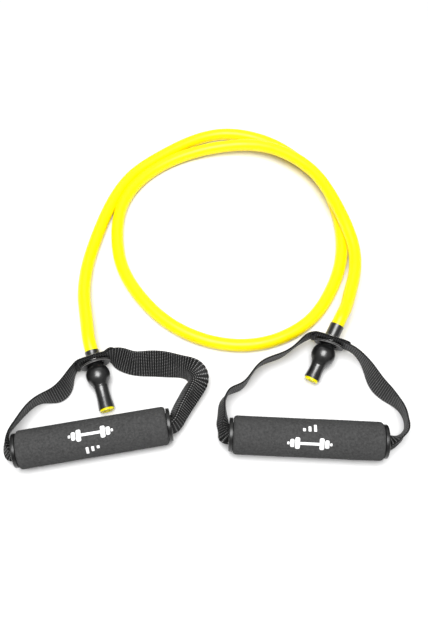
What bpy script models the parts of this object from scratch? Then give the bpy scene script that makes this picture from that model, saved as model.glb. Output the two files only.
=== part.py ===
"""Resistance band: one latex tube with a foam-covered handle on each end, lying loose on a floor.

Metres, +Z up, the floor at z = 0. Positions are those of the band as it lies.
Each handle is a webbing strap that runs folded through its grip. The two ends of the strap overlap at
a grommet, and the sleeve on the end of the tube passes through that grommet.
"""

import math

import bmesh
import bpy
import numpy as np
from mathutils import Matrix, Vector

UP = Vector((0.0, 0.0, 1.0))
LAYOUT_OFFSET = Vector((0.0062, 0.0836, 0.0))

# Latex tube
TUBE_RADIUS = 0.0055
TUBE_BORE_RADIUS = 0.003
TUBE_STANDOFF = 0.0003
TUBE_STRAIGHT = 0.009
TUBE_POINTS = 74

# Sleeve, tube end and plug ball, along the sleeve from its mouth to its end
SLEEVE_LENGTH = 0.049
SLEEVE_NECK_RADIUS = 0.00575
SLEEVE_TAIL_RADIUS = 0.0065
SLEEVE_BULGE_RADIUS = 0.0098
SLEEVE_WALL = 0.00075
SLEEVE_CLEARANCE = 0.00015
TUBE_END_PROUD = 0.0018
BALL_RADIUS = 0.0065
BALL_CLEARANCE = 0.00015

# Grommet and stop washer, measured from the middle of the two webbing layers towards the ball
BALL_FROM_STACK = 0.0134
BARREL_BORE_RADIUS = 0.0064
BARREL_RADIUS = 0.0071
FLANGE_RADIUS = 0.010
FLANGE_THICKNESS = 0.0011
FLANGE_LIFT = 0.0002
WASHER_RADIUS = 0.0125
WASHER_BORE_RADIUS = 0.0069
WASHER_START = 0.0034
WASHER_THICKNESS = 0.0015

# Webbing
STRAP_WIDTH = 0.025
STRAP_THICKNESS = 0.0014
STRAP_LAYER_OFFSET = 0.00085
STRAP_HOLE_RADIUS = 0.0074
STRAP_CUTTER_LENGTH = 0.006
STRAP_FOLD_HALF = 0.0018
OVERLAP_FLAT = 0.0103
OVERLAP_END = 0.0165

# Grip
FOAM_LENGTH = 0.116
FOAM_RADIUS = 0.015
FOAM_BORE_RADIUS = 0.0115
FOAM_EDGE = 0.0022
CORE_RADIUS = 0.0112
CORE_BORE_RADIUS = 0.01
CAP_GAP = 0.0003
CAP_FLANGE = 0.003
CAP_RADIUS = 0.0132
CAP_SPIGOT_RADIUS = 0.0097
CAP_SPIGOT_LENGTH = 0.012
CAP_BORE_RADIUS = 0.0084
GRIP_SIDES = 28
GRIP_AXIS_HEIGHT = FOAM_RADIUS * math.cos(math.pi / GRIP_SIDES)

ROUND_SIDES = 20
FLANGE_SIDES = 24

# Route of the tube's centre line between the two sleeve mouths, chosen by hand
TUBE_ROUTE = (
    (-0.106, -0.023, 0.0170),
    (-0.109, -0.008, 0.0145),
    (-0.112, 0.009, 0.0110),
    (-0.113, 0.026, 0.0080),
    (-0.112, 0.044, 0.0060),
    (-0.106, 0.074, 0.0056),
    (-0.096, 0.108, 0.0056),
    (-0.077, 0.143, 0.0056),
    (-0.052, 0.165, 0.0056),
    (-0.024, 0.183, 0.0056),
    (0.006, 0.193, 0.0056),
    (0.035, 0.190, 0.0056),
    (0.064, 0.176, 0.0056),
    (0.083, 0.159, 0.0056),
    (0.101, 0.138, 0.0056),
    (0.112, 0.108, 0.0056),
    (0.116, 0.074, 0.0056),
    (0.112, 0.042, 0.0056),
    (0.100, 0.012, 0.0056),
    (0.084, -0.011, 0.0056),
    (0.064, -0.026, 0.0056),
    (0.039, -0.035, 0.0056),
    (0.013, -0.036, 0.0056),
    (-0.012, -0.030, 0.0056),
    (-0.038, -0.016, 0.0056),
    (-0.064, 0.010, 0.0056),
    (-0.082, 0.042, 0.0056),
    (-0.088, 0.074, 0.0056),
    (-0.085, 0.108, 0.0056),
    (-0.070, 0.136, 0.0056),
    (-0.047, 0.156, 0.0060),
    (-0.014, 0.170, 0.0080),
    (0.015, 0.174, 0.0110),
    (0.044, 0.171, 0.0145),
    (0.072, 0.157, 0.0172),
    (0.094, 0.136, 0.0174),
    (0.108, 0.109, 0.0174),
    (0.115, 0.090, 0.0173),
    (0.120, 0.074, 0.0162),
    (0.124, 0.056, 0.0140),
    (0.124, 0.038, 0.0130),
    (0.121, 0.023, 0.0140),
    (0.116, 0.007, 0.0165),
    (0.111, -0.008, 0.0195),
)

# Each handle. Mouth and end are the two ends of the sleeve. The arms hold x, y, z, lean and fold of the
# webbing's middle line: from the overlap to the cap on the left, and from the cap on the right back to it.
HANDLES = {
    "left": {
        "mouth": (-0.1001, -0.0475, 0.0159),
        "end": (-0.0858, -0.0936, 0.0074),
        "ball_at": 0.0203,
        "grip": (-0.0938, -0.1201),
        "turn": 10.0,
        "tilt": 3.0,
        "bend_left": 0.009,
        "bend_right": 0.010,
        "twist_right": -19.0,
        "left_arm": (
            (-0.1185, -0.0755, 0.0140, -9, 0),
            (-0.1260, -0.0840, 0.0140, -8, 0),
            (-0.1405, -0.0890, 0.0138, 9, 0),
            (-0.1475, -0.0950, 0.0138, 12, 0),
            (-0.1560, -0.1075, 0.0138, 16, 0),
            (-0.1600, -0.1155, 0.0140, 18, 6),
            (-0.1605, -0.1225, 0.0143, 18, 25),
            (-0.1580, -0.1285, 0.0147, 18, 70),
        ),
        "right_arm": (
            (-0.0306, -0.1068, 0.0150, -90, 130),
            (-0.0278, -0.1005, 0.0150, -90, 122),
            (-0.0232, -0.0905, 0.0150, -86, 112),
            (-0.0172, -0.0790, 0.0147, -80, 102),
            (-0.0146, -0.0710, 0.0142, -64, 84),
            (-0.0170, -0.0650, 0.0133, -40, 46),
            (-0.0240, -0.0602, 0.0124, -24, 12),
            (-0.0345, -0.0575, 0.0118, -29, 0),
            (-0.0525, -0.0560, 0.0117, -33, 0),
            (-0.0655, -0.0560, 0.0122, -28, 0),
        ),
        "bore_lean": (20, -90),
    },
    "right": {
        "mouth": (0.1020, -0.0257, 0.0201),
        "end": (0.0800, -0.0675, 0.0074),
        "ball_at": 0.0266,
        "grip": (0.0728, -0.1204),
        "turn": -2.7,
        "tilt": 8.0,
        "bend_left": 0.009,
        "bend_right": 0.060,
        "twist_right": 0.0,
        "left_arm": (
            (0.0665, -0.0415, 0.0142, 13, 0),
            (0.0560, -0.0490, 0.0138, 13, 0),
            (0.0460, -0.0530, 0.0138, 13, 0),
            (0.0370, -0.0580, 0.0138, 12, 0),
            (0.0290, -0.0685, 0.0138, 8, 0),
            (0.0215, -0.0770, 0.0138, 8, 0),
            (0.0120, -0.0820, 0.0138, 10, 10),
            (0.0080, -0.0885, 0.0140, 12, 20),
            (0.0072, -0.0975, 0.0145, 12, 35),
            (0.0078, -0.1070, 0.0150, 14, 60),
            (0.0092, -0.1142, 0.0150, 15, 95),
        ),
        "right_arm": (
            (0.1420, -0.1215, 0.0146, 0, 50),
            (0.1480, -0.1165, 0.0142, 0, 25),
            (0.1510, -0.1080, 0.0138, 6, 0),
            (0.1500, -0.0980, 0.0136, 8, 0),
            (0.1455, -0.0905, 0.0136, 4, 0),
            (0.1400, -0.0845, 0.0136, -4, 0),
            (0.1325, -0.0760, 0.0137, -10, 0),
            (0.1280, -0.0675, 0.0138, -8, 0),
            (0.1240, -0.0575, 0.0142, 2, 0),
        ),
        "bore_lean": (40, 0),
    },
}


def clear_scene():
    for obj in list(bpy.data.objects):
        bpy.data.objects.remove(obj, do_unlink=True)


def make_material(name, colour, roughness, metallic=0.0):
    material = bpy.data.materials.new(name)
    material.use_nodes = True
    shader = material.node_tree.nodes["Principled BSDF"]
    shader.inputs["Base Color"].default_value = (*colour, 1.0)
    shader.inputs["Roughness"].default_value = roughness
    shader.inputs["Metallic"].default_value = metallic
    return material


def add_mesh(name, points, faces, material, origin=None, smooth=True):
    """One mesh object whose points are given about its own origin."""
    mesh = bpy.data.meshes.new(name)
    mesh.from_pydata([tuple(point) for point in points], [], faces)
    cleaner = bmesh.new()
    cleaner.from_mesh(mesh)
    bmesh.ops.recalc_face_normals(cleaner, faces=cleaner.faces)
    cleaner.to_mesh(mesh)
    cleaner.free()
    mesh.materials.append(material)
    mesh.polygons.foreach_set("use_smooth", [smooth] * len(mesh.polygons))
    obj = bpy.data.objects.new(name, mesh)
    bpy.context.scene.collection.objects.link(obj)
    if origin is not None:
        obj.matrix_world = origin
    return obj


def axis_frame(point, direction):
    """World matrix at a point, its Z along the direction and its X as level as it can be."""
    z_axis = Vector(direction).normalized()
    y_axis = (UP - z_axis * UP.dot(z_axis)).normalized()
    x_axis = y_axis.cross(z_axis)
    turn = Matrix((x_axis, y_axis, z_axis)).transposed().to_4x4()
    return Matrix.Translation(point) @ turn


def lathe(name, profile, frame, sides, material, turn=0.0):
    """Turns a closed loop of (radius, height) about the frame's Z. It never touches the axis."""
    angles = [turn + 2.0 * math.pi * step / sides for step in range(sides)]
    points = [
        (radius * math.cos(angle), radius * math.sin(angle), height)
        for angle in angles
        for radius, height in profile
    ]
    count = len(profile)
    faces = []
    for step in range(sides):
        here = step * count
        there = ((step + 1) % sides) * count
        for index in range(count):
            following = (index + 1) % count
            faces.append((here + index, here + following, there + following, there + index))
    return add_mesh(name, points, faces, material, frame)


def add_ball(name, radius, frame, material, sides=16, rings=9):
    """A sphere with one point at each pole."""
    points = [(0.0, 0.0, radius)]
    for ring in range(1, rings):
        tilt = math.pi * ring / rings
        for step in range(sides):
            angle = 2.0 * math.pi * step / sides
            flat = radius * math.sin(tilt)
            points.append((flat * math.cos(angle), flat * math.sin(angle), radius * math.cos(tilt)))
    points.append((0.0, 0.0, -radius))
    faces = []
    for step in range(sides):
        after = (step + 1) % sides
        faces.append((0, 1 + step, 1 + after))
        for ring in range(rings - 2):
            upper = 1 + ring * sides
            lower = upper + sides
            faces.append((upper + step, lower + step, lower + after, upper + after))
        last = 1 + (rings - 2) * sides
        faces.append((last + step, len(points) - 1, last + after))
    return add_mesh(name, points, faces, material, frame)


def add_rod(name, radius, length, frame, sides, material):
    """A solid round rod centred on the frame, its length along the frame's Z."""
    points = []
    for height in (-length / 2.0, length / 2.0):
        for step in range(sides):
            angle = 2.0 * math.pi * step / sides
            points.append((radius * math.cos(angle), radius * math.sin(angle), height))
    faces = [tuple(range(sides))[::-1], tuple(range(sides, 2 * sides))]
    for step in range(sides):
        after = (step + 1) % sides
        faces.append((step, after, sides + after, sides + step))
    return add_mesh(name, points, faces, material, frame)


def natural_spline(knots, values, wanted):
    """Natural cubic curve through values at rising knots, read at the wanted places."""
    knots = np.asarray(knots, dtype=float)
    values = np.asarray(values, dtype=float)
    count = len(knots)
    gaps = np.diff(knots)[:, None]
    slopes = np.diff(values, axis=0) / gaps
    system = np.eye(count)
    target = np.zeros_like(values)
    for index in range(1, count - 1):
        system[index, index - 1] = gaps[index - 1, 0]
        system[index, index] = 2.0 * (gaps[index - 1, 0] + gaps[index, 0])
        system[index, index + 1] = gaps[index, 0]
        target[index] = 6.0 * (slopes[index] - slopes[index - 1])
    bends = np.linalg.solve(system, target)
    wanted = np.asarray(wanted, dtype=float)
    place = np.clip(np.searchsorted(knots, wanted, side="right") - 1, 0, count - 2)
    gap = gaps[place]
    after = (wanted - knots[place])[:, None]
    before = gap - after
    curved = (bends[place] * before**3 + bends[place + 1] * after**3) / (6.0 * gap)
    start = (values[place] / gap - bends[place] * gap / 6.0) * before
    finish = (values[place + 1] / gap - bends[place + 1] * gap / 6.0) * after
    return curved + start + finish


def chord_knots(points):
    steps = np.linalg.norm(np.diff(points, axis=0), axis=1)
    return np.concatenate(([0.0], np.cumsum(steps)))


def handle_frames(handle):
    """The sleeve's mouth and direction, the ball, the grommet and the grip of one handle."""
    mouth = Vector(handle["mouth"]) + LAYOUT_OFFSET
    tilt = Matrix.Rotation(math.radians(handle["tilt"]), 3, "Z")
    along = (Vector(handle["end"]) - Vector(handle["mouth"])).normalized()
    ball = mouth + along * handle["ball_at"]
    turn = math.radians(handle["turn"])
    return {
        "mouth": mouth,
        "along": along,
        "ball": ball,
        "stack": ball - along * BALL_FROM_STACK,
        "stack_axis": tilt @ along,
        "grip": Vector((*handle["grip"], GRIP_AXIS_HEIGHT)) + LAYOUT_OFFSET,
        "grip_axis": Vector((math.cos(turn), math.sin(turn), 0.0)),
    }


def add_tube(frames, material):
    """The free length of the tube, as a round bevel on a polyline read from a smooth curve."""
    route = [Vector(point) + LAYOUT_OFFSET for point in TUBE_ROUTE]
    ends = []
    for side in ("left", "right"):
        mouth = frames[side]["mouth"]
        along = frames[side]["along"]
        ends.append([mouth - along * TUBE_STANDOFF, mouth - along * TUBE_STRAIGHT])
    route = np.array(ends[0] + route + ends[1][::-1])
    knots = chord_knots(route)
    places = np.linspace(knots[1], knots[-2], TUBE_POINTS - 2)
    places = np.concatenate(([0.0], places, [knots[-1]]))
    points = natural_spline(knots, route, places)
    curve = bpy.data.curves.new("latex_tube", "CURVE")
    curve.dimensions = "3D"
    curve.bevel_depth = TUBE_RADIUS
    curve.bevel_resolution = 4
    curve.use_fill_caps = True
    spline = curve.splines.new("POLY")
    spline.points.add(TUBE_POINTS - 1)
    for target, point in zip(spline.points, points):
        target.co = (*point, 1.0)
    curve.materials.append(material)
    obj = bpy.data.objects.new("latex_tube", curve)
    bpy.context.scene.collection.objects.link(obj)
    return obj


def sleeve_outline(ball_at):
    """(radius, height) of the sleeve's outside, from its mouth to its end."""
    bulge = (
        (-0.0090, 0.00),
        (-0.0074, 0.09),
        (-0.0060, 0.44),
        (-0.0042, 0.75),
        (-0.0020, 0.95),
        (0.0000, 1.00),
        (0.0024, 0.95),
        (0.0048, 0.75),
        (0.0070, 0.42),
        (0.0092, 0.13),
        (0.0120, 0.00),
    )
    outline = [(SLEEVE_NECK_RADIUS, 0.0)]
    for offset, rise in bulge:
        base = SLEEVE_NECK_RADIUS
        outline.append((base + rise * (SLEEVE_BULGE_RADIUS - base), ball_at + offset))
    outline.append((SLEEVE_TAIL_RADIUS, SLEEVE_LENGTH))
    return outline


def add_tube_end(side, frame, ball_at, materials):
    """Sleeve, the length of tube inside it, and the ball wedged in the tube."""
    outline = sleeve_outline(ball_at)
    inside = [(radius - SLEEVE_WALL, height) for radius, height in outline]
    lathe(f"{side}_tube_sleeve", outline + inside[::-1], frame, ROUND_SIDES, materials["sleeve"])
    skin = [(radius - SLEEVE_CLEARANCE, height) for radius, height in inside]
    proud = SLEEVE_LENGTH + TUBE_END_PROUD
    skin.append((skin[-1][0], proud))
    pocket = BALL_RADIUS + BALL_CLEARANCE
    bore = [(TUBE_BORE_RADIUS, proud)]
    for offset in (0.0092, 0.0066, 0.0048, 0.0026, 0.0, -0.0026, -0.0048, -0.0066, -0.0090):
        round_part = math.sqrt(max(pocket**2 - offset**2, 0.0))
        slack = 0.45 * TUBE_BORE_RADIUS if abs(offset) > 0.006 else 0.0006 * abs(offset) / 0.0048
        radius = max(round_part + slack, TUBE_BORE_RADIUS - 0.0003)
        bore.append((radius, ball_at + offset))
    bore.append((TUBE_BORE_RADIUS - 0.0003, 0.0))
    lathe(f"{side}_tube_end", skin + bore, frame, ROUND_SIDES, materials["latex"])
    ball_frame = frame @ Matrix.Translation((0.0, 0.0, ball_at))
    add_ball(f"{side}_plug_ball", BALL_RADIUS, ball_frame, materials["ball"])


def add_grommet(side, frame, materials):
    """Eyelet with its upper flange and set lip, the ring under the lip, and the loose stop washer."""
    face = STRAP_LAYER_OFFSET + STRAP_THICKNESS / 2.0 + FLANGE_LIFT
    top = -face - FLANGE_THICKNESS
    ring_top = face + FLANGE_THICKNESS
    lip = ring_top + 0.0001
    eyelet = (
        (BARREL_BORE_RADIUS, top + 0.0005),
        (BARREL_BORE_RADIUS + 0.0006, top),
        (FLANGE_RADIUS - 0.0016, top),
        (FLANGE_RADIUS - 0.0004, top + 0.0004),
        (FLANGE_RADIUS, -face),
        (BARREL_RADIUS, -face),
        (BARREL_RADIUS, lip),
        (BARREL_RADIUS + 0.0014, lip),
        (BARREL_RADIUS + 0.0010, lip + 0.0003),
        (BARREL_BORE_RADIUS + 0.0003, lip + 0.0003),
        (BARREL_BORE_RADIUS, lip),
    )
    lathe(f"{side}_grommet_eyelet", eyelet, frame, FLANGE_SIDES, materials["grommet"])
    ring = (
        (BARREL_RADIUS + 0.0002, face),
        (FLANGE_RADIUS, face),
        (FLANGE_RADIUS - 0.0003, face + 0.0007),
        (FLANGE_RADIUS - 0.0014, ring_top),
        (BARREL_RADIUS + 0.0002, ring_top),
    )
    lathe(f"{side}_grommet_ring", ring, frame, FLANGE_SIDES, materials["grommet"])
    finish = WASHER_START + WASHER_THICKNESS
    washer = (
        (WASHER_BORE_RADIUS, WASHER_START),
        (WASHER_RADIUS - 0.0003, WASHER_START),
        (WASHER_RADIUS, WASHER_START + 0.0004),
        (WASHER_RADIUS, finish - 0.0004),
        (WASHER_RADIUS - 0.0003, finish),
        (WASHER_BORE_RADIUS, finish),
    )
    lathe(f"{side}_stop_washer", washer, frame, FLANGE_SIDES, materials["washer"])


def overlap_stations(frame, handle, layer):
    """Stations of one webbing layer through the overlap, from its right end to its left end."""
    middle = frame.to_translation()
    droop = math.degrees(math.asin(-frame.to_3x3().col[2].z))
    ball_way = frame.to_3x3().col[2].copy()
    right_way = frame.to_3x3().col[0].copy()
    if right_way.x < 0.0:
        right_way.negate()
    stations = []
    outward = (0.0, 0.5 * OVERLAP_FLAT, OVERLAP_FLAT, 0.0124, 0.0144, OVERLAP_END)
    for place in [*outward[::-1], *(-step for step in outward[1:])]:
        radius = handle["bend_left"] if place < 0.0 else handle["bend_right"]
        side = -1.0 if place < 0.0 else 1.0
        angle = max(abs(place) - OVERLAP_FLAT, 0.0) / radius
        flat = side * (min(abs(place), OVERLAP_FLAT) + radius * math.sin(angle))
        out = radius * (1.0 - math.cos(angle))
        face = ball_way * math.cos(angle) - right_way * (side * math.sin(angle))
        point = middle + right_way * flat + ball_way * out + face * (layer * STRAP_LAYER_OFFSET)
        share = max(place - OVERLAP_FLAT, 0.0) / (OVERLAP_END - OVERLAP_FLAT)
        stations.append((*point, droop * math.cos(angle) + share * handle["twist_right"], 0.0))
    return stations


def bore_stations(frames, handle):
    """Stations through the grip, from its left cap to its right cap."""
    half = FOAM_LENGTH / 2.0 + CAP_GAP + CAP_FLANGE
    lean_in, lean_out = handle["bore_lean"]
    steps = ((-half + 0.0005, 132.0), (-half + 0.004, 152.0), (-half + 0.012, 166.0), (0.0, 168.0))
    steps += ((half - 0.012, 166.0), (half - 0.004, 152.0), (half - 0.0005, 132.0))
    stations = []
    for place, fold in steps:
        point = frames["grip"] + frames["grip_axis"] * place
        share = min(max((place + half) / (2.0 * half), 0.0), 1.0)
        lean = lean_in + (lean_out - lean_in) * (share * share * (3.0 - 2.0 * share))
        stations.append((*point, lean, fold))
    return stations


def section(fold, positions):
    """Across the webbing at one station: (width, face) offsets and the turn at each position."""
    half_fold = math.radians(fold) / 2.0
    fine = np.linspace(-STRAP_WIDTH / 2.0, STRAP_WIDTH / 2.0, 201)
    turns = half_fold * np.clip(fine / STRAP_FOLD_HALF, -1.0, 1.0)
    step = fine[1] - fine[0]
    wide = np.cumsum(np.cos(turns)) * step
    deep = np.cumsum(np.sin(turns)) * step
    wide -= wide[100]
    deep -= (deep.max() + deep.min()) / 2.0
    return (
        np.interp(positions, fine, wide),
        np.interp(positions, fine, deep),
        np.interp(positions, fine, turns),
    )


def ribbon_rows(stations, across):
    """Rows of points of the webbing's two faces along the smooth path through the stations."""
    stations = np.array(stations)
    knots = chord_knots(stations[:, :3])
    fine = np.linspace(0.0, knots[-1], 3000)
    path = natural_spline(knots, stations, fine)
    path[:, 4] = np.clip(path[:, 4], 0.0, 170.0)
    heading = np.gradient(path[:, :3], fine, axis=0)
    heading /= np.linalg.norm(heading, axis=1)[:, None]
    cost = np.zeros(len(fine))
    cost[1:] += np.linalg.norm(np.diff(path[:, :3], axis=0), axis=1) / 0.011
    cost[1:] += np.linalg.norm(np.diff(heading, axis=0), axis=1) / 0.24
    cost[1:] += (np.abs(np.diff(path[:, 3])) + np.abs(np.diff(path[:, 4]))) / 16.0
    cost = np.cumsum(cost)
    rows = int(math.ceil(cost[-1]))
    picks = np.interp(np.linspace(0.0, cost[-1], rows + 1), cost, np.arange(len(fine)))
    result = []
    for pick in picks:
        at = int(round(pick))
        forward = Vector(heading[at])
        side = UP.cross(forward).normalized()
        upright = forward.cross(side).normalized()
        lean = math.radians(path[at, 3])
        width_way = upright * math.cos(lean) + side * math.sin(lean)
        face_way = width_way.cross(forward).normalized()
        wide, deep, turns = section(path[at, 4], across)
        centre = Vector(path[at, :3])
        inner = []
        outer = []
        for w_off, d_off, turn in zip(wide, deep, turns):
            point = centre + width_way * w_off - face_way * d_off
            normal = face_way * math.cos(turn) + width_way * math.sin(turn)
            inner.append(point + normal * (STRAP_THICKNESS / 2.0))
            outer.append(point - normal * (STRAP_THICKNESS / 2.0))
        result.append(inner + outer[::-1])
    return result


def add_strap(side, frames, handle, frame, material):
    """One length of webbing from its end on the neck side, through the grip, to its end on the ball side."""
    stations = overlap_stations(frame, handle, -1.0)
    stations += [(*(Vector(s[:3]) + LAYOUT_OFFSET), s[3], s[4]) for s in handle["left_arm"]]
    stations += bore_stations(frames, handle)
    stations += [(*(Vector(s[:3]) + LAYOUT_OFFSET), s[3], s[4]) for s in handle["right_arm"]]
    stations += overlap_stations(frame, handle, 1.0)
    half = STRAP_WIDTH / 2.0
    crease = STRAP_FOLD_HALF
    across = np.array([-half, -crease, -crease / 3.0, crease / 3.0, crease, half])
    rows = ribbon_rows(stations, across)
    count = len(rows[0])
    origin = frame.to_translation()
    points = [point - origin for row in rows for point in row]
    faces = [tuple(range(count))[::-1], tuple(range(len(points) - count, len(points)))]
    for row in range(len(rows) - 1):
        for index in range(count):
            following = (index + 1) % count
            here = row * count
            there = here + count
            faces.append((here + index, here + following, there + following))
            faces.append((here + index, there + following, there + index))
    strap = add_mesh(f"{side}_webbing_strap", points, faces, material, Matrix.Translation(origin))
    cutter_name = f"{side}_strap_hole_cutter"
    cutter = add_rod(cutter_name, STRAP_HOLE_RADIUS, STRAP_CUTTER_LENGTH, frame, FLANGE_SIDES, material)
    cutter.hide_render = True
    cutter.display_type = "WIRE"
    cut = strap.modifiers.new("grommet hole", "BOOLEAN")
    cut.operation = "DIFFERENCE"
    cut.solver = "EXACT"
    cut.object = cutter
    return strap


def add_grip(side, frames, materials):
    """Foam over a core tube, with a flanged cap pushed into each end."""
    frame = axis_frame(frames["grip"], frames["grip_axis"])
    half = FOAM_LENGTH / 2.0
    flat_down = math.pi / 2.0 + math.pi / GRIP_SIDES
    foam = (
        (FOAM_BORE_RADIUS, -half),
        (FOAM_RADIUS - FOAM_EDGE, -half),
        (FOAM_RADIUS - 0.3 * FOAM_EDGE, -half + 0.35 * FOAM_EDGE),
        (FOAM_RADIUS, -half + FOAM_EDGE),
        (FOAM_RADIUS, half - FOAM_EDGE),
        (FOAM_RADIUS - 0.3 * FOAM_EDGE, half - 0.35 * FOAM_EDGE),
        (FOAM_RADIUS - FOAM_EDGE, half),
        (FOAM_BORE_RADIUS, half),
    )
    lathe(f"{side}_foam_grip", foam, frame, GRIP_SIDES, materials["foam"], flat_down)
    core = (
        (CORE_BORE_RADIUS, -half),
        (CORE_RADIUS, -half),
        (CORE_RADIUS, half),
        (CORE_BORE_RADIUS, half),
    )
    lathe(f"{side}_core_tube", core, frame, FLANGE_SIDES, materials["core"])
    inner = half + CAP_GAP
    outer = inner + CAP_FLANGE
    cap = (
        (CAP_BORE_RADIUS, inner - CAP_SPIGOT_LENGTH),
        (CAP_SPIGOT_RADIUS, inner - CAP_SPIGOT_LENGTH),
        (CAP_SPIGOT_RADIUS, inner),
        (CAP_RADIUS, inner),
        (CAP_RADIUS, outer - 0.0008),
        (CAP_RADIUS - 0.0008, outer),
        (CAP_BORE_RADIUS + 0.0026, outer),
        (CAP_BORE_RADIUS + 0.0008, outer - 0.0008),
        (CAP_BORE_RADIUS, outer - 0.0026),
    )
    towards_middle = 1.0 if side == "left" else -1.0
    for label, way in (("inner", towards_middle), ("outer", -towards_middle)):
        facing = axis_frame(frames["grip"], frames["grip_axis"] * way)
        lathe(f"{side}_{label}_end_cap", cap, facing, FLANGE_SIDES, materials["cap"])


def build():
    clear_scene()
    materials = {
        "latex": make_material("yellow latex", (0.95, 0.80, 0.02), 0.35),
        "sleeve": make_material("black satin rubber", (0.02, 0.02, 0.022), 0.4),
        "ball": make_material("white nylon", (0.85, 0.85, 0.82), 0.4),
        "grommet": make_material("black nickel", (0.06, 0.06, 0.065), 0.25, 1.0),
        "washer": make_material("black steel", (0.03, 0.03, 0.033), 0.3, 1.0),
        "strap": make_material("black polyester webbing", (0.025, 0.025, 0.028), 0.85),
        "foam": make_material("charcoal foam", (0.09, 0.09, 0.095), 0.95),
        "core": make_material("grey plastic pipe", (0.25, 0.25, 0.26), 0.5),
        "cap": make_material("gloss black plastic", (0.01, 0.01, 0.011), 0.15),
    }
    frames = {side: handle_frames(handle) for side, handle in HANDLES.items()}
    add_tube(frames, materials["latex"])
    for side, handle in HANDLES.items():
        here = frames[side]
        mouth_frame = axis_frame(here["mouth"], here["along"])
        stack_frame = axis_frame(here["stack"], here["stack_axis"])
        add_tube_end(side, mouth_frame, handle["ball_at"], materials)
        add_grommet(side, stack_frame, materials)
        add_strap(side, here, handle, stack_frame, materials["strap"])
        add_grip(side, here, materials)


build()
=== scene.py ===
"""Looks of a resistance band: a yellow latex tube with a foam-covered handle on each end.

Metres, +Z up, the floor at z = 0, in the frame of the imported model. Each piece but the printed
marks is a finer mesh of one of that model's solids, along the same route and stations.
"""

import math

import bpy
import bmesh
import numpy as np
from mathutils import Matrix, Vector, noise


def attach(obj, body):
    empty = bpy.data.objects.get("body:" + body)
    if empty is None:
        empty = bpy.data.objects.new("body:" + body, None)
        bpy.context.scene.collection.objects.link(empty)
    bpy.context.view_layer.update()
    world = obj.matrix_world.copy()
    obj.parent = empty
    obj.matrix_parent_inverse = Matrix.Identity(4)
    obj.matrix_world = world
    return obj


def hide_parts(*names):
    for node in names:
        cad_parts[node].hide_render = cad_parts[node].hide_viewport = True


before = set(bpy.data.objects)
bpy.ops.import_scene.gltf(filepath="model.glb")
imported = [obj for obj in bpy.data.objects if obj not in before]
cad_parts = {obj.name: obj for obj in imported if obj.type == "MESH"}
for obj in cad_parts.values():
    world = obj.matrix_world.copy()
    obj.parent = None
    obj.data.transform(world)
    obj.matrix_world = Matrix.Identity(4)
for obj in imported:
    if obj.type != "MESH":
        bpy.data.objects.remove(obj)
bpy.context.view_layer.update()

UP = Vector((0.0, 0.0, 1.0))
LAYOUT_OFFSET = Vector((0.0062, 0.0836, 0.0))

# Camera, lights and floor. Each light has a place, a size and a power, and is aimed at the origin.
# The camera looks down, turned up from plumb by the degrees given.
CAMERA_PLACE = (0.0062, -0.2178, 0.56685)
CAMERA_FROM_PLUMB = 28.0
CAMERA_LENS = 42.85
CAMERA_SENSOR = 36.0
LIGHTS = {
    "overhead": ((-0.03, -0.16, 1.15), (0.75, 0.75), 22.0),
    "back": ((0.0, 1.00, 0.80), (1.0, 0.5), 1.5),
}
WORLD_STRENGTH = 0.25
FLOOR_HALF = 1.6

# Latex tube
TUBE_RADIUS = 0.0055
TUBE_BORE_RADIUS = 0.003
TUBE_STANDOFF = 0.0003
TUBE_STRAIGHT = 0.009
TUBE_RING_STEP = 0.0015
TUBE_SIDES = 36
TUBE_SAMPLES = 4000
TUBE_SQUEEZE = 0.3
TUBE_MOST_SQUEEZE = 0.03
TUBE_UNEVEN = 0.00004

# Sleeve, tube end and plug ball. The waves are in radians per metre along the sleeve.
SLEEVE_LENGTH = 0.049
SLEEVE_NECK_RADIUS = 0.00575
SLEEVE_TAIL_RADIUS = 0.0065
SLEEVE_BULGE_RADIUS = 0.0098
SLEEVE_WALL = 0.00075
SLEEVE_CLEARANCE = 0.00015
SLEEVE_STEPS = 90
SLEEVE_SAMPLES = 400
SLEEVE_LEVEL_HALF = 0.002
MOUTH_LIP = 0.0006
MOUTH_GAP = 0.00005
MOUTH_SWELL = 0.0001
MOUTH_SWELL_REACH = 0.0011
WRINKLE_HEIGHT = 0.00007
WRINKLE_FROM_BALL = 0.0105
WRINKLE_REACH = 0.0025
WRINKLE_WAVES = 2400.0
SLEEVE_UNEVEN = 0.00006
TUBE_END_PROUD = 0.0018
CUT_FLARE = 0.0001
CUT_FLARE_HEIGHT = 0.0006
CUT_FACE_UNEVEN = 0.00008
BALL_RADIUS = 0.0065
BALL_SIDES = 40
BALL_RINGS = 28
BALL_POLE_DEGREES = 88.0
BALL_SEAM = 0.00006
BALL_SEAM_REACH = 0.04
POCKET_CLEARANCE = 0.00015
POCKET_EXTRA = 0.00035
POCKET_HALF = 0.0090
POCKET_STEPS = 24

# The sleeve's bulge over the ball: distance past the ball, share of the bulge's whole height
SLEEVE_BULGE = (
    (-0.0090, 0.00),
    (-0.0074, 0.09),
    (-0.0060, 0.44),
    (-0.0042, 0.75),
    (-0.0020, 0.95),
    (0.0000, 1.00),
    (0.0024, 0.95),
    (0.0048, 0.75),
    (0.0070, 0.42),
    (0.0092, 0.13),
    (0.0120, 0.00),
)

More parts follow.
